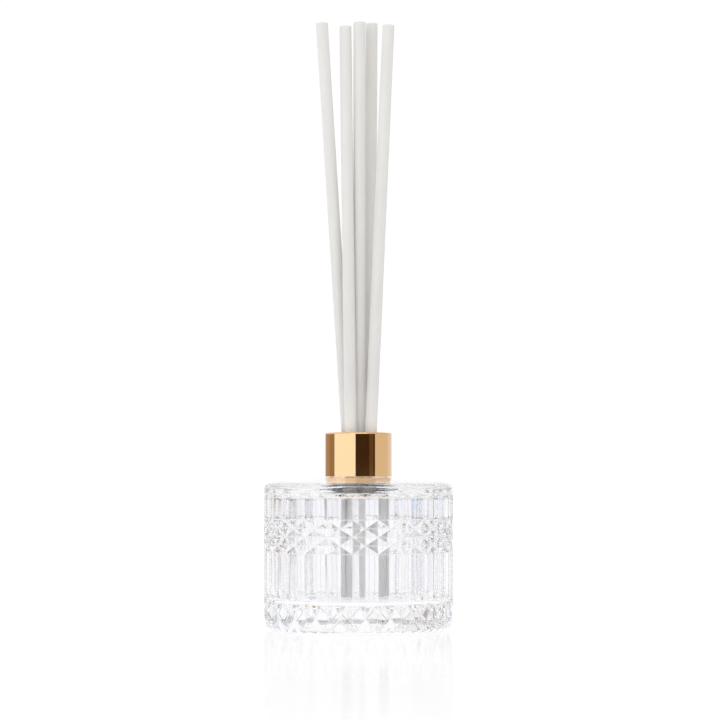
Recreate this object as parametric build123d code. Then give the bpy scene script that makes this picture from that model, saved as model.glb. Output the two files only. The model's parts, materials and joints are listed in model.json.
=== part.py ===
from build123d import *
import os
from math import atan2, cos, hypot, radians, sin

# A fragrance reed diffuser: a cut-glass bottle, a screw collar with an open top, and five reeds.
# Millimetres, +Z up. The origin is the centre of the bottle's rest face.
# Directions round the axis are angles from -Y towards +X.

# ---- Reeds ----
reed_diameter = 5.0
reed_length = 240.0
# How much longer than reed_length each reed was cut.
reed_cuts = [1.0, -0.6, 1.0, 1.9, -0.5]
reed_end_chamfer = 0.2
reed_floor_gap = 0.05
# Where each reed's axis meets the floor and where it passes the collar's top, in reed diameters.
reed_places = [
    ((-0.06, 1.55), (-0.93, 0.89)),
    ((-0.47, -1.29), (-0.65, -1.05)),
    ((0.09, 0.23), (0.09, 0.01)),
    ((0.80, 0.98), (0.89, 0.91)),
    ((0.41, -0.75), (1.02, -0.79)),
]
bundle_radius = 1.78 * reed_diameter
reed_play = 0.1

# ---- Bottle body ----
body_radius = 39.0
body_wall = 5.0
floor_thickness = 10.2
rim_height = 59.4
rim_inset = 2.4
crown_drop = 2.0
crown_inset = 0.4
dome_rise = 2.2
dome_start_inset = 2.7
dome_wall = 3.8
floor_corner_radius = 5.0
shoulder_corner_radius = 2.0

# ---- Cut pattern ----
flute_count = 24
first_ridge_angle = -3.3
flute_depth = 1.7
flute_arch_drop = 4.1
flute_ridge_drop = 5.8
flute_valley_drop = 6.2
lattice_drop = 14.6
lattice_row = 3.375
diamond_depth = 1.4
panel_top_ridge = 9.9
panel_top_side = 11.2
panel_side_share = 0.54
panel_waist = 6.1
panel_depth = 1.3
foot_edge_height = 0.9
foot_edge_inset = 1.0
rest_inset = 2.0
punt_radius = 29.0
punt_depth = 0.8

# ---- Neck and thread ----
neck_wall = 2.0
neck_root_fillet = 1.2
mouth_round = 0.4
thread_pitch = 3.175
thread_turns = 1.5
thread_height = 0.95
thread_base = 0.62 * thread_pitch
thread_crest = 0.28 * thread_pitch
thread_below_mouth = 2.4
thread_embed = 0.25
thread_clearance = 0.15
liner_ridge_base = 0.5 * thread_pitch
liner_ridge_crest = 0.22 * thread_pitch

# ---- Collar ----
collar_gap = 0.3
collar_height = 18.1
shell_wall = 0.5
shell_edge_round = 0.7
shell_rim_round = 0.15
liner_wall = 1.3
liner_top = 0.9
liner_recess = 0.3
liner_interference = 0.03
washer_thickness = 1.0
washer_edge_gap = 0.5
opening_play = 0.4

# ---- Worked out from the sizes above ----
bore_radius = bundle_radius + reed_play
opening_radius = bore_radius + opening_play
neck_radius = bore_radius + neck_wall
thread_crest_radius = neck_radius + thread_height
liner_bore_radius = thread_crest_radius + thread_clearance
liner_radius = liner_bore_radius + liner_wall
collar_radius = liner_radius + shell_wall
cavity_radius = body_radius - body_wall
dome_top = rim_height + dome_rise
crown_height = rim_height - crown_drop
lattice_top = rim_height - lattice_drop
collar_bottom = dome_top + collar_gap
collar_top = collar_bottom + collar_height
liner_top_face = collar_top - shell_wall
washer_top = liner_top_face - liner_top
mouth_height = washer_top - washer_thickness
thread_length = thread_turns * thread_pitch
thread_start = mouth_height - thread_below_mouth - thread_length
half_pitch = 180.0 / flute_count
lattice = [lattice_top - row * lattice_row for row in range(5)]


def pattern_point(step, radius, height):
    """A point of the cut pattern; even steps are ridges and odd steps are valleys."""
    angle = radians(first_ridge_angle + step * half_pitch)
    return Vector(radius * sin(angle), -radius * cos(angle), height)


def half_flute_faces(ridge, valley):
    """The faces between one ridge line and a valley line beside it, from the rim to the foot."""
    row_a, row_b, row_c, row_d, row_e = lattice
    flute_radius = body_radius - flute_depth
    diamond_radius = body_radius - diamond_depth
    crown_radius = body_radius - crown_inset
    rim_radius = body_radius - rim_inset
    foot_radius = body_radius - foot_edge_inset
    rest_radius = body_radius - rest_inset

    rim_r = pattern_point(ridge, rim_radius, rim_height)
    rim_v = pattern_point(valley, rim_radius, rim_height)
    crown_r = pattern_point(ridge, crown_radius, crown_height)
    crown_v = pattern_point(valley, crown_radius, crown_height)
    arch_r = pattern_point(ridge, body_radius, rim_height - flute_ridge_drop)
    arch_v = pattern_point(valley, body_radius, rim_height - flute_arch_drop)
    upper_v = pattern_point(valley, flute_radius, rim_height - flute_valley_drop)
    a_r = pattern_point(ridge, body_radius, row_a)
    a_v = pattern_point(valley, flute_radius, row_a)
    b_r = pattern_point(ridge, diamond_radius, row_b)
    b_v = pattern_point(valley, body_radius, row_b)
    c_r = pattern_point(ridge, body_radius, row_c)
    c_v = pattern_point(valley, diamond_radius, row_c)
    d_r = pattern_point(ridge, diamond_radius, row_d)
    d_v = pattern_point(valley, body_radius, row_d)
    e_r = pattern_point(ridge, body_radius, row_e)
    e_v = pattern_point(valley, flute_radius, row_e)
    lower_v = pattern_point(valley, flute_radius, panel_top_side)
    lower_ridge = pattern_point(ridge, body_radius, panel_top_side)
    side = lower_ridge + (lower_v - lower_ridge) * panel_side_share
    panel_r = pattern_point(ridge, body_radius, panel_top_ridge)
    waist_r = pattern_point(ridge, body_radius - panel_depth, panel_waist)
    waist_v = pattern_point(valley, body_radius, panel_waist)
    foot_r = pattern_point(ridge, foot_radius, foot_edge_height)
    foot_v = pattern_point(valley, foot_radius, foot_edge_height)
    rest_r = pattern_point(ridge, rest_radius, 0)
    rest_v = pattern_point(valley, rest_radius, 0)

    outlines = [
        (rim_r, crown_r, crown_v, rim_v),
        (crown_r, arch_r, arch_v),
        (crown_r, arch_v, crown_v),
        (arch_r, upper_v, arch_v),
        (arch_r, a_r, a_v, upper_v),
        (a_r, b_v, a_v),
        (a_r, b_r, b_v),
        (b_r, c_r, b_v),
        (c_r, c_v, b_v),
        (c_r, d_v, c_v),
        (c_r, d_r, d_v),
        (d_r, e_r, d_v),
        (e_r, e_v, d_v),
        (e_r, panel_r, side, lower_v, e_v),
        (side, waist_v, lower_v),
        (panel_r, waist_r, side),
        (waist_r, waist_v, side),
        (waist_r, foot_r, waist_v),
        (foot_r, foot_v, waist_v),
        (foot_r, rest_r, foot_v),
        (rest_r, rest_v, foot_v),
    ]
    if valley < ridge:
        outlines = [outline[::-1] for outline in outlines]
    return [Face(Wire.make_polygon(outline)) for outline in outlines]


def pattern_ring(radius, height):
    """A flat face with a corner at every ridge and valley."""
    corners = [pattern_point(step, radius, height) for step in range(2 * flute_count)]
    return Face(Wire.make_polygon(corners))


def turned(points, radii):
    """A solid of revolution from (radius, height) points; its two ends close on the axis."""
    (_, bottom), (_, top) = points[0], points[-1]
    outline = FilletPolyline(*points, radius=radii) + Line((0, top), (0, bottom))
    return revolve(Plane.XZ * make_face(outline), Axis.Z)


def helical_ridge(root_radius, root_width, crest_radius, crest_width, start_height):
    """A trapezoid thread ridge that climbs round the axis from start_height."""
    path = Helix(thread_pitch, thread_length, root_radius)
    corners = [
        (root_radius, -root_width / 2),
        (crest_radius, -crest_width / 2),
        (crest_radius, crest_width / 2),
        (root_radius, root_width / 2),
    ]
    profile = Plane.XZ * make_face(Polyline(*corners, close=True))
    return Pos(0, 0, start_height) * sweep(profile, path=path, is_frenet=True)


def cut_body():
    """The bottle's body outside: flutes, a lattice of diamonds and a band of panels, all cut."""
    faces = [pattern_ring(body_radius - rim_inset, rim_height), pattern_ring(body_radius - rest_inset, 0)]
    for ridge in range(0, 2 * flute_count, 2):
        faces += half_flute_faces(ridge, ridge + 1)
        faces += half_flute_faces(ridge, ridge - 1)
    body = Solid(Shell(faces))
    return body if body.volume > 0 else -body


def shoulder_and_neck():
    """The domed shoulder and the plain neck, reaching a little way into the body."""
    dome_edge = body_radius - dome_start_inset
    points = [
        (0, crown_height),
        (dome_edge, crown_height),
        (dome_edge, rim_height),
        (neck_radius, dome_top),
        (neck_radius, mouth_height),
        (0, mouth_height),
    ]
    return turned(points, [0, 0, neck_root_fillet, mouth_round])


def bottle_cavity():
    """The inside of the bottle: round floor corner, round shoulder and the bore of the neck."""
    inner_dome = dome_top - dome_wall
    inner_shoulder = rim_height - dome_wall
    points = [
        (0, floor_thickness),
        (cavity_radius, floor_thickness),
        (cavity_radius, inner_shoulder),
        (bore_radius, inner_dome),
        (bore_radius, mouth_height),
        (0, mouth_height),
    ]
    return turned(points, [floor_corner_radius, shoulder_corner_radius, neck_wall, 0])


def glass_bottle():
    thread = helical_ridge(
        neck_radius - thread_embed, thread_base, thread_crest_radius, thread_crest, thread_start
    )
    punt = Pos(0, 0, punt_depth / 2) * Cone(punt_radius, punt_radius - punt_depth, punt_depth)
    return cut_body() + shoulder_and_neck() + thread - bottle_cavity() - punt


def collar_liner():
    """The threaded ring: its ridge runs in the bottle's thread, half a pitch below it."""
    outer = liner_radius + liner_interference
    bottom = collar_bottom + liner_recess
    ring = turned([(0, bottom), (outer, bottom), (outer, liner_top_face), (0, liner_top_face)], [0, 0])
    bore = turned(
        [(0, bottom), (liner_bore_radius, bottom), (liner_bore_radius, washer_top), (0, washer_top)],
        [0, 0],
    )
    ridge = helical_ridge(
        liner_bore_radius + thread_embed, liner_ridge_base,
        neck_radius + thread_clearance, liner_ridge_crest, thread_start - thread_pitch / 2
    )
    opening = Pos(0, 0, liner_top_face) * Cylinder(opening_radius, 2 * collar_height)
    return (ring - bore - opening) + ridge


def collar_shell():
    """The drawn metal cup with a round opening in its top."""
    cup = turned(
        [(0, collar_bottom), (collar_radius, collar_bottom), (collar_radius, collar_top), (0, collar_top)],
        [shell_rim_round, shell_edge_round],
    )
    inside = turned(
        [(0, collar_bottom), (liner_radius, collar_bottom), (liner_radius, liner_top_face), (0, liner_top_face)],
        [0, 0],
    )
    opening = Pos(0, 0, collar_top) * Cylinder(opening_radius, 2 * collar_height)
    return cup - inside - opening


def neck_washer():
    """The seal between the mouth and the liner, wide enough for the liner's ridge to hold it in."""
    outer = liner_bore_radius - washer_edge_gap
    middle = mouth_height + washer_thickness / 2
    disc = Cylinder(outer, washer_thickness) - Cylinder(opening_radius, washer_thickness)
    return Pos(0, 0, middle) * disc


def reed(place, cut):
    """One reed, standing on the floor and leaning on the mouth."""
    (foot_x, foot_y), (mouth_x, mouth_y) = place
    lean_x = (mouth_x - foot_x) * reed_diameter
    lean_y = (mouth_y - foot_y) * reed_diameter
    rise = collar_top - floor_thickness
    lean = atan2(hypot(lean_x, lean_y), rise)
    foot_height = floor_thickness + reed_diameter / 2 * sin(lean) + reed_floor_gap
    foot = (foot_x * reed_diameter, foot_y * reed_diameter, foot_height)
    length = reed_length + cut
    rod = Cylinder(reed_diameter / 2, length, align=(Align.CENTER, Align.CENTER, Align.MIN))
    rod = chamfer(rod.edges().filter_by(GeomType.CIRCLE), reed_end_chamfer)
    return Plane(origin=foot, z_dir=(lean_x, lean_y, rise)) * rod


parts = {
    "glass_bottle": glass_bottle(),
    "collar_shell": collar_shell(),
    "collar_liner": collar_liner(),
    "neck_washer": neck_washer(),
}
for number, (place, cut) in enumerate(zip(reed_places, reed_cuts), start=1):
    parts[f"reed_{number}"] = reed(place, cut)

os.makedirs("parts", exist_ok=True)
for name, solid in parts.items():
    export_step(solid, f"parts/{name}.step")
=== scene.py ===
"""Looks for the reed diffuser: cut-glass bottle, gold screw collar and five fibre reeds."""

import json
import math
import random

import bmesh
import bpy
from mathutils import Matrix, Vector, noise


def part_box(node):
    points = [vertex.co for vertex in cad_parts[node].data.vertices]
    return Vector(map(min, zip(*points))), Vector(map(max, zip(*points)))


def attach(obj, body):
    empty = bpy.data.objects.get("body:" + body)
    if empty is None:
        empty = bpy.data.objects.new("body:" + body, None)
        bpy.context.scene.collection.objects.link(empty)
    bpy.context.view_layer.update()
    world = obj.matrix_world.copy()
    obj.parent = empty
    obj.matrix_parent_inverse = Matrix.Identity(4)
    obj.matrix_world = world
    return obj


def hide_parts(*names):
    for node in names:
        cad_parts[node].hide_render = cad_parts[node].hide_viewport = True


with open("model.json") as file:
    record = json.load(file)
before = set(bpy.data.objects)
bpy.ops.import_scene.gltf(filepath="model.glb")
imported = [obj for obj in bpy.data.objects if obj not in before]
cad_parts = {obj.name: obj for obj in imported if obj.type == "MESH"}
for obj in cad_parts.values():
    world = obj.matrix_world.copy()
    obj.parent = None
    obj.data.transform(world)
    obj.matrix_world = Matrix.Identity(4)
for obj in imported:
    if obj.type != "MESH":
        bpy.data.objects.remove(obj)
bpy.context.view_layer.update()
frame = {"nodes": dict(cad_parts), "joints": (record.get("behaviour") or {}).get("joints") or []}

MM = 0.001
TURN = 2 * math.pi

# ---- Places read from the CAD frame ----
bottle_low, bottle_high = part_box("glass_bottle")
shell_low, shell_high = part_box("collar_shell")


def reach(node, low, high):
    """The largest distance from the bottle's axis of a node's vertices between two heights."""
    points = (v.co for v in frame["nodes"][node].data.vertices)
    return max(math.hypot(p.x, p.y) for p in points if low <= p.z <= high)


def narrowest(node, low, high):
    """The smallest distance from the bottle's axis of a node's vertices between two heights."""
    points = (v.co for v in frame["nodes"][node].data.vertices)
    return min(math.hypot(p.x, p.y) for p in points if low <= p.z <= high)


body_radius = reach("glass_bottle", bottle_low.z, bottle_high.z)
mouth_height = bottle_high.z
collar_bottom = shell_low.z
collar_top = shell_high.z
collar_radius = shell_high.x
opening_radius = narrowest("collar_shell", collar_bottom, collar_top)

# ---- Cut pattern of the bottle, as in the CAD ----
FLUTES = 24
FIRST_RIDGE = math.radians(-3.3)
HALF_PITCH = math.pi / FLUTES
rim_height = 59.4 * MM
flute_depth = 1.7 * MM
flute_ridge_top = rim_height - 5.8 * MM
flute_valley_top = rim_height - 6.2 * MM
flute_arch_top = rim_height - 4.1 * MM
lattice_top = rim_height - 14.6 * MM
lattice_row = 3.375 * MM
diamond_depth = 1.4 * MM
panel_top_ridge = 9.9 * MM
panel_top_side = 11.2 * MM
panel_side_share = 0.54
panel_waist = 6.1 * MM
panel_depth = 1.3 * MM
foot_edge_height = 0.9 * MM
foot_edge_radius = body_radius - 1.0 * MM
rest_radius = body_radius - 2.0 * MM
punt_radius = 29.0 * MM
punt_depth = 0.8 * MM
arris_width = 0.32 * MM

# ---- The bottle's plain surfaces ----
SUBSTEPS = 4
crown_radius = bottle_high.x
crown_round = 2.4 * MM
dome_top = 61.6 * MM
neck_radius = 11.0 * MM
neck_fillet = 1.2 * MM
bore_radius = 9.0 * MM
mouth_round = 0.4 * MM
cavity_radius = body_radius - 5.0 * MM
cavity_floor = 10.2 * MM
cavity_shoulder = 55.6 * MM
cavity_dome = 57.8 * MM
bore_bend = 2.0 * MM
floor_corner = 5.0 * MM
shoulder_corner = 2.0 * MM
thread_pitch = 3.175 * MM
thread_turns = 1.5
thread_height = 0.95 * MM
thread_start = mouth_height - 2.4 * MM - thread_turns * thread_pitch
wall_waviness = 0.12 * MM

# ---- The collar's and the reeds' fine shape ----
shell_wall = 0.5 * MM
shell_top_round = 0.7 * MM
shell_rim_round = 0.12 * MM
shell_lip_round = 0.2 * MM
COLLAR_SEGMENTS = 256
REED_SEGMENTS = 48
REED_ROWS = 120
reed_edge_round = 0.12 * MM
REED_CUT_SLANT = 0.07
REED_TIP_INSET = 0.03

# ---- The bottle's material slots ----
OUTSIDE, ARRIS, INSIDE = range(3)

# ---- The studio, in metres and in radiance ----
TABLE_REACH = 6.0
BACKDROP_DISTANCE = 1.2
BACKDROP_SIDES = (-0.42, 0.75)
BACKDROP_HEIGHTS = (-0.05, 1.3)
# The surroundings near the horizon, from azimuth to azimuth; 0 is the camera's side and 90 its right.
HORIZON = [
    (-180, (0.90, 0.90, 0.90)),
    (-150, (0.43, 0.355, 0.29)),
    (-118, (0.345, 0.27, 0.205)),
    (-91, (0.97, 1.21, 1.56)),
    (-10, (0.045, 0.025, 0.012)),
    (37, (0.12, 0.075, 0.045)),
    (52, (0.06, 0.035, 0.02)),
    (59, (0.76, 0.79, 0.84)),
    (120, (0.80, 0.90, 1.10)),
]
TENT_LEFT = 0.94
TENT_RIGHT = 0.70
GLASS_BOUNCES = 32


# ---- Mesh helpers ----
def new_object(name, mesh):
    """An object, in the scene, for a mesh, a light or a camera."""
    piece = bpy.data.objects.new(name, mesh)
    bpy.context.scene.collection.objects.link(piece)
    return piece


def smooth_object(name, mesh):
    """Makes an object of a mesh, with smooth faces that point outward."""
    for face in mesh.faces:
        face.smooth = True
    bmesh.ops.recalc_face_normals(mesh, faces=mesh.faces)
    data = bpy.data.meshes.new(name)
    mesh.to_mesh(data)
    mesh.free()
    return new_object(name, data)


def arc_points(centre, radius, start, end, count):
    """Points of an arc in the (radius, height) plane; angles in degrees from outward towards up."""
    angles = [math.radians(start + (end - start) * i / count) for i in range(count + 1)]
    return [(centre[0] + radius * math.cos(a), centre[1] + radius * math.sin(a)) for a in angles]


def pattern_point(step, radius, height):
    """A point of the cut pattern; even steps are ridges and odd steps are valleys."""
    angle = FIRST_RIDGE + step * HALF_PITCH
    return Vector((radius * math.sin(angle), -radius * math.cos(angle), height))


def cut_curves(ridge, valley):
    """The curved edges between a ridge and the valley beside it, each as a list of points."""
    arch, scallop, arm = [], [], []
    side = valley - ridge
    low_ridge = pattern_point(ridge, body_radius, 0)
    low_valley = pattern_point(valley, body_radius - flute_depth, 0)
    top_valley = pattern_point(valley, body_radius, 0)
    for i in range(SUBSTEPS + 1):
        share = i / SUBSTEPS
        bow = math.sin(share * math.pi / 2)
        height = flute_ridge_top + (flute_arch_top - flute_ridge_top) * bow
        point = low_ridge.lerp(top_valley, share)
        point.z = height
        arch.append(point)
        point = low_ridge.lerp(low_valley, share * panel_side_share)
        point.z = panel_top_ridge + (panel_top_side - panel_top_ridge) * share ** 2
        scallop.append(point)
        drop = 1 - (1 - share) ** 1.35
        radius = body_radius + (foot_edge_radius - body_radius) * drop
        height = panel_waist + (foot_edge_height - panel_waist) * drop
        arm.append(pattern_point(valley - side * share, radius, height))
    return arch, scallop, arm


def cut_outlines(ridge, valley):
    """The flat facets between one ridge line and the valley line beside it."""
    rows = [lattice_top - row * lattice_row for row in range(5)]
    flute = body_radius - flute_depth
    diamond = body_radius - diamond_depth
    arch, scallop, arm = cut_curves(ridge, valley)
    upper_valley = pattern_point(valley, flute, flute_valley_top)
    lower_valley = pattern_point(valley, flute, panel_top_side)
    waist_ridge = pattern_point(ridge, body_radius - panel_depth, panel_waist)
    waist_valley = arm[0]
    foot_valley = pattern_point(valley, foot_edge_radius, foot_edge_height)
    a_r, c_r, e_r = (pattern_point(ridge, body_radius, rows[i]) for i in (0, 2, 4))
    b_r, d_r = (pattern_point(ridge, diamond, rows[i]) for i in (1, 3))
    b_v, d_v = (pattern_point(valley, body_radius, rows[i]) for i in (1, 3))
    a_v, e_v = (pattern_point(valley, flute, rows[i]) for i in (0, 4))
    c_v = pattern_point(valley, diamond, rows[2])

    outlines = [(upper_valley, arch[i + 1], arch[i]) for i in range(SUBSTEPS)]
    outlines += [
        (arch[0], a_r, a_v, upper_valley),
        (a_r, b_v, a_v),
        (a_r, b_r, b_v),
        (b_r, c_r, b_v),
        (c_r, c_v, b_v),
        (c_r, d_v, c_v),
        (c_r, d_r, d_v),
        (d_r, e_r, d_v),
        (e_r, e_v, d_v),
        (e_r, *scallop, lower_valley, e_v),
        (scallop[-1], waist_valley, lower_valley),
        (waist_ridge, waist_valley, scallop[-1]),
    ]
    outlines += [(waist_ridge, scallop[i + 1], scallop[i]) for i in range(SUBSTEPS)]
    outlines += [(waist_ridge, arm[i + 1], arm[i]) for i in range(SUBSTEPS)]
    outlines += [(foot_valley, arm[i], arm[i + 1]) for i in range(SUBSTEPS)]
    rest_ridge = pattern_point(ridge, rest_radius, 0)
    rest_valley = pattern_point(valley, rest_radius, 0)
    outlines += [
        (arm[-1], rest_ridge, foot_valley),
        (rest_ridge, rest_valley, foot_valley),
    ]
    return outlines


def add_faces(mesh, outlines, flip, smooth, slot=OUTSIDE):
    """Faces with corners of their own, which are joined up when the mesh is whole."""
    for outline in outlines:
        points = outline[::-1] if flip else outline
        face = mesh.faces.new([mesh.verts.new(p) for p in points])
        face.smooth = smooth
        face.material_index = slot


def ring(radius, height, waviness=0.0, substeps=SUBSTEPS):
    """One ring of the plain surfaces, with a number of points to each half flute."""
    points = [pattern_point(i / substeps, radius, height) for i in range(2 * FLUTES * substeps)]
    if waviness:
        points = [p * (1 + waviness * noise.noise(p * 90) / radius) for p in points]
        for p in points:
            p.z = height + waviness * noise.noise(p * 70)
    return points


def add_band(mesh, lower, upper, slot=OUTSIDE):
    """Quads from one ring to the next; both run anticlockwise seen from above."""
    count = len(lower)
    outlines = []
    for i in range(count):
        j = (i + 1) % count
        outlines.append((lower[i], lower[j], upper[j], upper[i]))
    add_faces(mesh, outlines, flip=False, smooth=True, slot=slot)


def thread_radius(angle, height):
    """The neck's radius with its thread ridge, which fades in and out over an eighth of a turn."""
    best = 0.0
    for turn in range(3):
        travel = angle / TURN + turn
        if travel > thread_turns:
            continue
        fade = min(1.0, travel / 0.125, (thread_turns - travel) / 0.125)
        away = abs(height - thread_start - travel * thread_pitch) / (0.31 * thread_pitch)
        best = max(best, fade * min(1.0, max(0.0, (1.0 - away) / 0.55)))
    return neck_radius + thread_height * best


def neck_ring(height):
    """One ring of the neck, pushed out where the thread passes."""
    points = []
    for i in range(2 * FLUTES * SUBSTEPS):
        angle = (FIRST_RIDGE + i / SUBSTEPS * HALF_PITCH - math.pi / 2) % TURN
        points.append(pattern_point(i / SUBSTEPS, thread_radius(angle, height), height))
    return points


def outside_rings():
    """Rings from the crown over the shoulder and up the neck to the mouth."""
    start = crown_radius - crown_round
    crown = arc_points((start, rim_height - crown_round), crown_round, 0, 90, 8)
    rings = [ring(r, z) for r, z in crown]
    end = neck_radius + neck_fillet
    for i in range(1, 13):
        share = i / 12
        height = rim_height + (dome_top - rim_height) * math.sin(share * math.pi / 2)
        rings.append(ring(start + (end - start) * share, height))
    fillet = arc_points((end, dome_top + neck_fillet), neck_fillet, 270, 180, 6)
    rings += [ring(r, z) for r, z in fillet[1:]]
    low = dome_top + neck_fillet
    high = mouth_height - mouth_round
    rows = 96
    rings += [neck_ring(low + (high - low) * i / rows) for i in range(1, rows + 1)]
    lip = arc_points((neck_radius - mouth_round, high), mouth_round, 0, 90, 4)
    rings += [ring(r, z) for r, z in lip[1:]]
    return rings


def inside_rings():
    """Rings from the mouth down the bore and round the inside to the middle of the floor."""
    lip_bottom = mouth_height - mouth_round
    lip = arc_points((bore_radius + mouth_round, lip_bottom), mouth_round, 90, 180, 4)
    rings = [ring(r, z) for r, z in lip]
    bend_top = cavity_dome + bore_bend
    for i in range(1, 9):
        height = mouth_height - mouth_round + (bend_top - mouth_height + mouth_round) * i / 8
        rings.append(ring(bore_radius, height))
    bend = arc_points((bore_radius + bore_bend, bend_top), bore_bend, 180, 265, 8)
    rings += [ring(r, z) for r, z in bend[1:]]
    start, top = bend[-1]
    end = cavity_radius - shoulder_corner
    for i in range(1, 11):
        share = i / 10
        height = top + (cavity_shoulder - top) * share ** 1.6
        rings.append(ring(start + (end - start) * share, height, wall_waviness))
    corner = arc_points((end, cavity_shoulder - shoulder_corner), shoulder_corner, 90, 0, 8)
    rings += [ring(r, z, wall_waviness) for r, z in corner[1:]]
    low = cavity_floor + floor_corner
    high = cavity_shoulder - shoulder_corner
    for i in range(1, 25):
        rings.append(ring(cavity_radius, high + (low - high) * i / 24, wall_waviness))
    end = cavity_radius - floor_corner
    corner = arc_points((end, low), floor_corner, 0, -90, 10)
    rings += [ring(r, z, wall_waviness) for r, z in corner[1:]]
    rings += [ring(end * (1 - i / 10), cavity_floor, wall_waviness) for i in range(1, 10)]
    return rings


def add_cap(mesh, edge, height, upward, slot=OUTSIDE):
    """Closes a ring with triangles to its middle."""
    middle = Vector((0, 0, height))
    count = len(edge)
    outlines = [(edge[i], edge[(i + 1) % count], middle) for i in range(count)]
    add_faces(mesh, outlines, flip=not upward, smooth=True, slot=slot)


def crown_skirt(mesh):
    """The plain glass between the flutes' arches and the crown's lowest ring."""
    lowest = ring(crown_radius, rim_height - crown_round)
    count = len(lowest)
    arches = [None] * count
    for ridge in range(0, 2 * FLUTES, 2):
        for side in (-1, 1):
            arch, _, _ = cut_curves(ridge, ridge + side)
            for i, point in enumerate(arch):
                arches[(ridge * SUBSTEPS + side * i) % count] = point
    add_band(mesh, arches, lowest)


def underside(mesh):
    """The rest ring and the shallow punt inside it."""
    punt_top = punt_radius - punt_depth
    profile = [
        (rest_radius, 0),
        (punt_radius, 0),
        (punt_top, punt_depth),
        (0.5 * punt_top, punt_depth),
    ]
    rings = [ring(radius, height, substeps=1) for radius, height in profile]
    for lower, upper in zip(rings, rings[1:]):
        add_band(mesh, lower, upper)
    add_cap(mesh, rings[-1], punt_depth, upward=True)


def glass_bottle():
    """The whole bottle as one closed mesh, with softened edges between the cuts."""
    mesh = bmesh.new()
    for ridge in range(0, 2 * FLUTES, 2):
        add_faces(mesh, cut_outlines(ridge, ridge + 1), flip=False, smooth=False)
        add_faces(mesh, cut_outlines(ridge, ridge - 1), flip=True, smooth=False)
    crown_skirt(mesh)
    inside = inside_rings()
    outside = outside_rings() + [inside[0]]
    for lower, upper in zip(outside, outside[1:]):
        add_band(mesh, lower, upper)
    for upper, lower in zip(inside, inside[1:]):
        add_band(mesh, upper, lower, slot=INSIDE)
    add_cap(mesh, inside[-1], cavity_floor, upward=True, slot=INSIDE)
    underside(mesh)
    bmesh.ops.remove_doubles(mesh, verts=mesh.verts, dist=0.002 * MM)
    bmesh.ops.dissolve_degenerate(mesh, edges=mesh.edges, dist=0.002 * MM)
    bmesh.ops.recalc_face_normals(mesh, faces=mesh.faces)
    weights = mesh.edges.layers.float.new("bevel_weight_edge")
    for edge in mesh.edges:
        cut = [not face.smooth for face in edge.link_faces]
        if any(cut) and len(cut) == 2 and edge.calc_face_angle() > math.radians(4):
            edge[weights] = 1.0
    data = bpy.data.meshes.new("bottle_glass")
    mesh.to_mesh(data)
    mesh.free()
    piece = new_object("bottle_glass", data)
    arris = piece.modifiers.new("arris", "BEVEL")
    arris.limit_method = "WEIGHT"
    arris.width = arris_width
    arris.segments = 2
    arris.use_clamp_overlap = True
    arris.material = ARRIS
    return piece


def join_rings(mesh, lower, upper):
    """Quads from one ring of vertices to the next."""
    count = len(lower)
    for i in range(count):
        j = (i + 1) % count
        mesh.faces.new((lower[i], lower[j], upper[j], upper[i]))


def lathe(name, profile, segments):
    """A closed ring turned round the bottle's axis from (radius, height) points."""
    mesh = bmesh.new()
    rings = []
    for i in range(segments):
        angle = TURN * i / segments
        points = [(r * math.cos(angle), r * math.sin(angle), z) for r, z in profile]
        rings.append([mesh.verts.new(point) for point in points])
    for i, here in enumerate(rings):
        there = rings[(i + 1) % segments]
        for j in range(len(profile)):
            k = (j + 1) % len(profile)
            mesh.faces.new((here[j], there[j], there[k], here[k]))
    piece = smooth_object(name, mesh)
    piece.modifiers.new("even_shading", "WEIGHTED_NORMAL").keep_sharp = False
    return piece


def gold_collar():
    """The drawn cup; its outline runs up the outside, over the top and down the inside."""
    inner = collar_radius - shell_wall
    under_top = collar_top - shell_wall
    rim = (collar_radius - shell_rim_round, collar_bottom + shell_rim_round)
    shoulder = (collar_radius - shell_top_round, collar_top - shell_top_round)
    lip = (opening_radius + shell_lip_round, collar_top - shell_lip_round)
    profile = arc_points(rim, shell_rim_round, -90, 0, 5)
    profile += arc_points(shoulder, shell_top_round, 0, 90, 8)
    profile += arc_points(lip, shell_lip_round, 90, 180, 6)
    profile += [(opening_radius, under_top), (inner, under_top), (inner, collar_bottom)]
    return lathe("collar_gold", profile, COLLAR_SEGMENTS)


def reed_line(node):
    """Where a reed's axis starts, its direction and its length, from the CAD node."""
    points = [v.co for v in frame["nodes"][node].data.vertices]
    joint = next(j for j in frame["joints"] if j["child"] == node)
    axis = Vector(joint["axis"]).normalized()
    along = [p.dot(axis) for p in points]
    low, high = min(along), max(along)
    end = [p for p, t in zip(points, along) if t - low < 0.05 * MM]
    foot = sum(end, Vector()) / len(end)
    foot -= axis * (foot.dot(axis) - low)
    reaches = [(p - foot - axis * (p - foot).dot(axis)).length for p in points]
    return foot, axis, high - low, max(reaches)


def around(i, segments):
    """The unit vector at one of a number of equal steps round the axis."""
    angle = TURN * i / segments
    return Vector((math.cos(angle), math.sin(angle), 0))


def rough_cut(radius, seed, offset):
    """How a reed's ends are cut: slanted a little, with torn fibres, never past the CAD rod's end."""
    shake = random.Random(seed)
    slant = Vector((shake.uniform(-1, 1), shake.uniform(-1, 1), 0)) * REED_CUT_SLANT

    def cut_height(point, height, inward):
        tear = 0.5 + 0.5 * noise.noise((point + offset) * 2200)
        depth = (0.16 + slant.dot(point) / radius + 0.35 * tear) * MM
        return height + max(0.0, depth) * inward

    return cut_height


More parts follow.
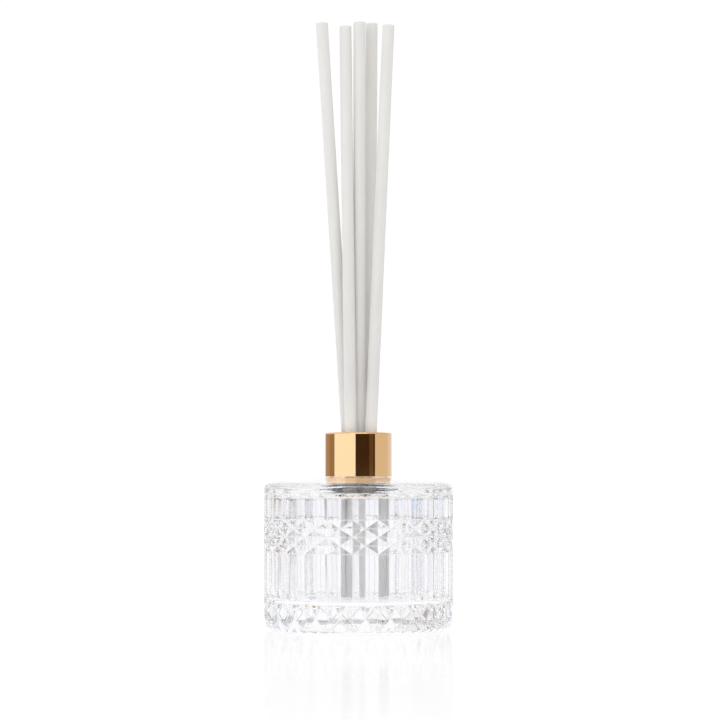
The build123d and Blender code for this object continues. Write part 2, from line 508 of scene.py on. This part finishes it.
def reed_rings(mesh, radius, length, offset, cut_height):
    """The rings of vertices up a reed's slightly uneven side."""
    heights = [reed_edge_round * share for share in (0.3, 1.0)]
    heights += [length * i / REED_ROWS for i in range(1, REED_ROWS)]
    heights += [length - reed_edge_round * share for share in (1.0, 0.3)]
    last = len(heights) - 1
    rings = []
    for row, height in enumerate(heights):
        inset = REED_TIP_INSET if row in (0, last) else 0
        verts = []
        for i in range(REED_SEGMENTS):
            unit = around(i, REED_SEGMENTS)
            sample = unit * 2 + Vector((0, 0, height * 60)) + offset
            uneven = 0.012 * (1 + noise.noise(sample)) + 0.004 * (1 + noise.noise(sample * 5))
            point = unit * radius * (1 - uneven - inset)
            point.z = height
            if row in (0, 1, last - 1, last):
                point.z = cut_height(point, height, 1 if row < 2 else -1)
            verts.append(mesh.verts.new(point))
        rings.append(verts)
    return rings


def close_reed(mesh, edge, radius, height, inward, cut_height):
    """Closes one end of a reed with its torn face."""
    outer = edge
    for share in (0.8, 0.6, 0.4, 0.2):
        inner = []
        for i in range(REED_SEGMENTS):
            point = around(i, REED_SEGMENTS) * radius * share * 0.96
            point.z = cut_height(point, height, inward)
            inner.append(mesh.verts.new(point))
        join_rings(mesh, outer, inner)
        outer = inner
    mesh.faces.new(outer)


def reed(node, seed):
    """A stick of bonded fibre: a slightly uneven rod with roughly cut ends."""
    foot, axis, length, radius = reed_line(node)
    offset = Vector((seed * 7.3, seed * 3.1, 0))
    cut_height = rough_cut(radius, seed, offset)
    mesh = bmesh.new()
    rings = reed_rings(mesh, radius, length, offset, cut_height)
    for lower, upper in zip(rings, rings[1:]):
        join_rings(mesh, lower, upper)
    close_reed(mesh, rings[0], radius, 0.0, 1, cut_height)
    close_reed(mesh, rings[-1], radius, length, -1, cut_height)
    piece = smooth_object(f"fibre_{node}", mesh)
    turn = axis.to_track_quat("Z", "Y").to_matrix().to_4x4()
    piece.matrix_world = Matrix.Translation(foot) @ turn
    return piece


# ---- Materials ----
def material(name):
    """A new node material; returns it, its node tree and its Principled shader."""
    made = bpy.data.materials.new(name)
    made.use_nodes = True
    return made, made.node_tree, made.node_tree.nodes["Principled BSDF"]


def coordinates(tree):
    """Object coordinates, in metres."""
    return tree.nodes.new("ShaderNodeTexCoord").outputs["Object"]


def noise_node(tree, scale, detail, stretch=(1, 1, 1)):
    """A noise texture on object coordinates."""
    mapping = tree.nodes.new("ShaderNodeMapping")
    mapping.inputs["Scale"].default_value = stretch
    texture = tree.nodes.new("ShaderNodeTexNoise")
    texture.inputs["Scale"].default_value = scale
    texture.inputs["Detail"].default_value = detail
    tree.links.new(coordinates(tree), mapping.inputs["Vector"])
    tree.links.new(mapping.outputs["Vector"], texture.inputs["Vector"])
    return texture.outputs["Fac"]


def spread(tree, value, low, high):
    """Maps a 0-to-1 value to a range."""
    node = tree.nodes.new("ShaderNodeMapRange")
    node.inputs["To Min"].default_value = low
    node.inputs["To Max"].default_value = high
    tree.links.new(value, node.inputs["Value"])
    return node.outputs["Result"]


def blend(tree, value, first, second):
    """Mixes two colours, each given as numbers or as another node's output."""
    node = tree.nodes.new("ShaderNodeMix")
    node.data_type = "RGBA"
    tree.links.new(value, node.inputs["Factor"])
    for place, colour in (("A", first), ("B", second)):
        if isinstance(colour, bpy.types.NodeSocket):
            tree.links.new(colour, node.inputs[place])
        else:
            node.inputs[place].default_value = (*colour, 1)
    return node.outputs["Result"]


def math_node(tree, operation, value, *numbers):
    """A Math node; what follows value is a number or another node's output."""
    node = tree.nodes.new("ShaderNodeMath")
    node.operation = operation
    tree.links.new(value, node.inputs[0])
    for place, number in enumerate(numbers, start=1):
        if isinstance(number, bpy.types.NodeSocket):
            tree.links.new(number, node.inputs[place])
        else:
            node.inputs[place].default_value = number
    return node.outputs["Value"]


def bump(tree, shader, height, depth, strength):
    """Relief from a 0-to-1 value; depth is in metres."""
    node = tree.nodes.new("ShaderNodeBump")
    node.inputs["Distance"].default_value = depth
    node.inputs["Strength"].default_value = strength
    tree.links.new(height, node.inputs["Height"])
    tree.links.new(node.outputs["Normal"], shader.inputs["Normal"])


def clear_glass(name, roughest):
    """Pressed clear glass: polished, faintly wavy and very slightly grey."""
    made, tree, shader = material(name)
    shader.inputs["Transmission Weight"].default_value = 1.0
    shader.inputs["IOR"].default_value = 1.5
    waves = noise_node(tree, 160, 2)
    tree.links.new(spread(tree, waves, 0.0, roughest), shader.inputs["Roughness"])
    tint = blend(tree, waves, (0.955, 0.95, 0.965), (0.975, 0.97, 0.985))
    tree.links.new(tint, shader.inputs["Base Color"])
    bump(tree, shader, waves, 0.06 * MM, 0.35)
    return made


def soft_arris():
    """The fire-softened edges of the cuts, which scatter a little light."""
    made, tree, shader = material("soft_arris")
    shader.inputs["Transmission Weight"].default_value = 0.45
    shader.inputs["IOR"].default_value = 1.5
    waves = noise_node(tree, 400, 2)
    tree.links.new(spread(tree, waves, 0.25, 0.45), shader.inputs["Roughness"])
    tint = blend(tree, waves, (0.98, 0.98, 0.99), (1.0, 1.0, 1.0))
    tree.links.new(tint, shader.inputs["Base Color"])
    return made


def polished_gold():
    """Gold anodised aluminium with a clear sealed surface and faint turning marks."""
    made, tree, shader = material("polished_gold")
    shader.inputs["Metallic"].default_value = 1.0
    shader.inputs["Coat Weight"].default_value = 0.25
    shader.inputs["Coat Roughness"].default_value = 0.02
    clouds = noise_node(tree, 120, 3)
    gold = blend(tree, clouds, (0.90, 0.54, 0.235), (0.93, 0.57, 0.255))
    tree.links.new(gold, shader.inputs["Base Color"])
    marks = noise_node(tree, 900, 4, stretch=(0.05, 0.05, 6))
    tree.links.new(spread(tree, marks, 0.02, 0.07), shader.inputs["Roughness"])
    bump(tree, shader, marks, 0.004 * MM, 0.2)
    return made


def white_fibre():
    """Bonded polyester fibre: matt white strands, with painted light: painted lighter down inside the
    bottle to stand in for the light the glass keeps from them.
    """
    made, tree, shader = material("white_fibre")
    shader.inputs["Specular IOR Level"].default_value = 0.25
    shader.inputs["Sheen Weight"].default_value = 0.15
    shader.inputs["Sheen Roughness"].default_value = 0.6
    shader.inputs["Subsurface Weight"].default_value = 0.5
    shader.inputs["Subsurface Radius"].default_value = (1.0, 1.0, 1.0)
    shader.inputs["Subsurface Scale"].default_value = 3.0 * MM
    strands = noise_node(tree, 2600, 5, stretch=(1, 1, 0.03))
    blotches = noise_node(tree, 220, 3, stretch=(1, 1, 0.25))
    along = tree.nodes.new("ShaderNodeSeparateXYZ")
    tree.links.new(coordinates(tree), along.inputs["Vector"])
    # Painted light: from 45 to 90 mm up the reed the colour fades from a lighter tone inside the
    # bottle, which makes up for light lost in the glass, to the fibre's own tone above the neck.
    out_of_glass = tree.nodes.new("ShaderNodeMapRange")
    out_of_glass.inputs["From Min"].default_value = 45 * MM
    out_of_glass.inputs["From Max"].default_value = 90 * MM
    tree.links.new(along.outputs["Z"], out_of_glass.inputs["Value"])
    # First colour: the fibre painted lighter inside the bottle in place of the light the glass takes;
    # second colour: the fibre's own tone.
    painted_lift_in_glass = blend(tree, blotches, (0.95, 0.935, 0.905), (0.98, 0.965, 0.94))
    fibre_own_tone = blend(tree, blotches, (0.71, 0.696, 0.672), (0.78, 0.766, 0.742))
    tree.links.new(blend(tree, out_of_glass.outputs["Result"], painted_lift_in_glass, fibre_own_tone), shader.inputs["Base Color"])
    tree.links.new(spread(tree, strands, 0.8, 1.0), shader.inputs["Roughness"])
    bump(tree, shader, strands, 0.08 * MM, 0.6)
    return made


def moulded_plastic(name, first, second, roughness):
    """Moulded plastic with a fine eggshell surface."""
    made, tree, shader = material(name)
    shader.inputs["Subsurface Weight"].default_value = 0.15
    shader.inputs["Subsurface Scale"].default_value = 1.0 * MM
    grain = noise_node(tree, 1800, 3)
    clouds = noise_node(tree, 150, 2)
    tree.links.new(blend(tree, clouds, first, second), shader.inputs["Base Color"])
    polish = spread(tree, grain, roughness - 0.08, roughness + 0.08)
    tree.links.new(polish, shader.inputs["Roughness"])
    bump(tree, shader, grain, 0.02 * MM, 0.4)
    return made


def studio_white():
    """The table: a sheet of lit white acrylic with a faint polish."""
    made, tree, shader = material("studio_white")
    clouds = noise_node(tree, 3, 1)
    tone = blend(tree, clouds, (0.09, 0.09, 0.09), (0.11, 0.11, 0.11))
    tree.links.new(tone, shader.inputs["Base Color"])
    shader.inputs["Roughness"].default_value = 0.6
    shader.inputs["Specular IOR Level"].default_value = 0.0
    shader.inputs["Coat Weight"].default_value = 1.0
    shader.inputs["Coat IOR"].default_value = 1.035
    shader.inputs["Coat Roughness"].default_value = 0.1
    shader.inputs["Emission Color"].default_value = (1, 1, 1, 1)
    shader.inputs["Emission Strength"].default_value = 0.955
    return made


def backdrop_white():
    """The backdrop: an evenly lit white sheet."""
    made, tree, shader = material("backdrop_white")
    shader.inputs["Emission Color"].default_value = (1, 1, 1, 1)
    shader.inputs["Emission Strength"].default_value = 1.02
    shader.inputs["Base Color"].default_value = (0, 0, 0, 1)
    shader.inputs["Specular IOR Level"].default_value = 0.0
    return made


# ---- Studio ----
def plane(name, corners):
    """A flat sheet of the studio, which isn't part of the object."""
    data = bpy.data.meshes.new(name)
    data.from_pydata(corners, [], [(0, 1, 2, 3)])
    piece = new_object(name, data)
    return piece


def studio():
    """The table and the backdrop behind it."""
    far = TABLE_REACH
    corners = [(-far, -far), (far, -far), (far, far), (-far, far)]
    floor = plane("table", [(x, y, 0) for x, y in corners])
    floor.data.materials.append(studio_white())
    left, right = BACKDROP_SIDES
    bottom, top = BACKDROP_HEIGHTS
    corners = [(left, bottom), (right, bottom), (right, top), (left, top)]
    wall = plane("backdrop", [(x, BACKDROP_DISTANCE, z) for x, z in corners])
    wall.data.materials.append(backdrop_white())


def softbox(name, azimuth, distance, width, height, middle, aim, radiance):
    """A rectangular light that faces the height aim on the axis; azimuth is as in HORIZON."""
    light = bpy.data.lights.new(name, "AREA")
    light.shape = "RECTANGLE"
    light.size = width
    light.size_y = height
    light.energy = radiance * math.pi * width * height
    lamp = new_object(name, light)
    angle = math.radians(azimuth)
    lamp.location = (distance * math.sin(angle), -distance * math.cos(angle), middle)
    toward = Vector((0, 0, aim)) - lamp.location
    lamp.rotation_euler = toward.to_track_quat("-Z", "Y").to_euler()


def lights():
    """A weak key light on the left and a broad one overhead."""
    softbox("key_left", -48.5, 0.60, width=0.95, height=0.95, middle=0.50, aim=0.50, radiance=0.12)
    softbox("overhead", 0, 0.5, width=0.7, height=0.35, middle=0.6, aim=0.06, radiance=1.1)


def light_paths():
    """Lets light cross the cut glass as often as it needs to, or the facets turn black."""
    cycles = bpy.context.scene.cycles
    cycles.max_bounces = GLASS_BOUNCES
    cycles.transmission_bounces = GLASS_BOUNCES
    cycles.glossy_bounces = GLASS_BOUNCES


def surroundings():
    """A light tent, with a dark gap beside the camera and a dim one at the back on the left."""
    world = bpy.data.worlds.new("tent")
    bpy.context.scene.world = world
    world.use_nodes = True
    tree = world.node_tree
    direction = tree.nodes.new("ShaderNodeTexCoord").outputs["Generated"]
    split = tree.nodes.new("ShaderNodeSeparateXYZ")
    tree.links.new(direction, split.inputs["Vector"])
    toward = math_node(tree, "MULTIPLY", split.outputs["Y"], -1)
    azimuth = math_node(tree, "ARCTAN2", split.outputs["X"], toward)
    share = math_node(tree, "MULTIPLY_ADD", azimuth, 1 / TURN, 0.5)
    ramp = tree.nodes.new("ShaderNodeValToRGB")
    ramp.color_ramp.interpolation = "CONSTANT"
    ramp.color_ramp.elements.remove(ramp.color_ramp.elements[1])
    for i, (start, colour) in enumerate(HORIZON):
        stop = ramp.color_ramp.elements.new(start / 360 + 0.5) if i else ramp.color_ramp.elements[0]
        stop.color = (*colour, 1)
    tree.links.new(share, ramp.inputs["Fac"])
    tent = tree.nodes.new("ShaderNodeMapRange")
    tent.inputs["From Min"].default_value = -1.0
    tent.inputs["To Min"].default_value = TENT_LEFT
    tent.inputs["To Max"].default_value = TENT_RIGHT
    tree.links.new(split.outputs["X"], tent.inputs["Value"])
    height = math_node(tree, "ABSOLUTE", split.outputs["Z"])
    above = tree.nodes.new("ShaderNodeMapRange")
    above.interpolation_type = "SMOOTHSTEP"
    above.inputs["From Min"].default_value = 0.03
    above.inputs["From Max"].default_value = 0.07
    tree.links.new(height, above.inputs["Value"])
    around = blend(tree, above.outputs["Result"], ramp.outputs["Color"], tent.outputs["Result"])
    tree.links.new(around, tree.nodes["Background"].inputs["Color"])


def camera():
    """A long lens a little above the collar's foot, tilted up to take in the reeds' tips."""
    data = bpy.data.cameras.new("camera")
    data.sensor_width = 36
    data.lens = 101.74
    data.clip_start = 0.01
    viewpoint = new_object("camera", data)
    viewpoint.location = (0.66 * MM, -841.8 * MM, 63.0 * MM)
    viewpoint.rotation_euler = (math.radians(90 + 3.205), 0, 0)
    bpy.context.scene.camera = viewpoint


# ---- The object ----
bottle = glass_bottle()
for look in (clear_glass("polished_glass", 0.03), soft_arris(), clear_glass("pressed_glass", 0.12)):
    bottle.data.materials.append(look)
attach(bottle, "bottle")
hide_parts("glass_bottle")

collar = gold_collar()
collar.data.materials.append(polished_gold())
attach(collar, "collar")
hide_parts("collar_shell")

fibre = white_fibre()
for number in range(1, 6):
    node = f"reed_{number}"
    stick = reed(node, number)
    stick.data.materials.append(fibre)
    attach(stick, node)
    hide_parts(node)

liner_plastic = moulded_plastic("liner_plastic", (0.86, 0.86, 0.84), (0.90, 0.90, 0.88), 0.42)
washer_foam = moulded_plastic("washer_foam", (0.83, 0.83, 0.81), (0.88, 0.88, 0.86), 0.75)
for node, look in (("collar_liner", liner_plastic), ("neck_washer", washer_foam)):
    slots = frame["nodes"][node].data.materials
    slots.clear()
    slots.append(look)

studio()
lights()
surroundings()
camera()
light_paths()
bpy.context.scene.view_settings.view_transform = "Standard"
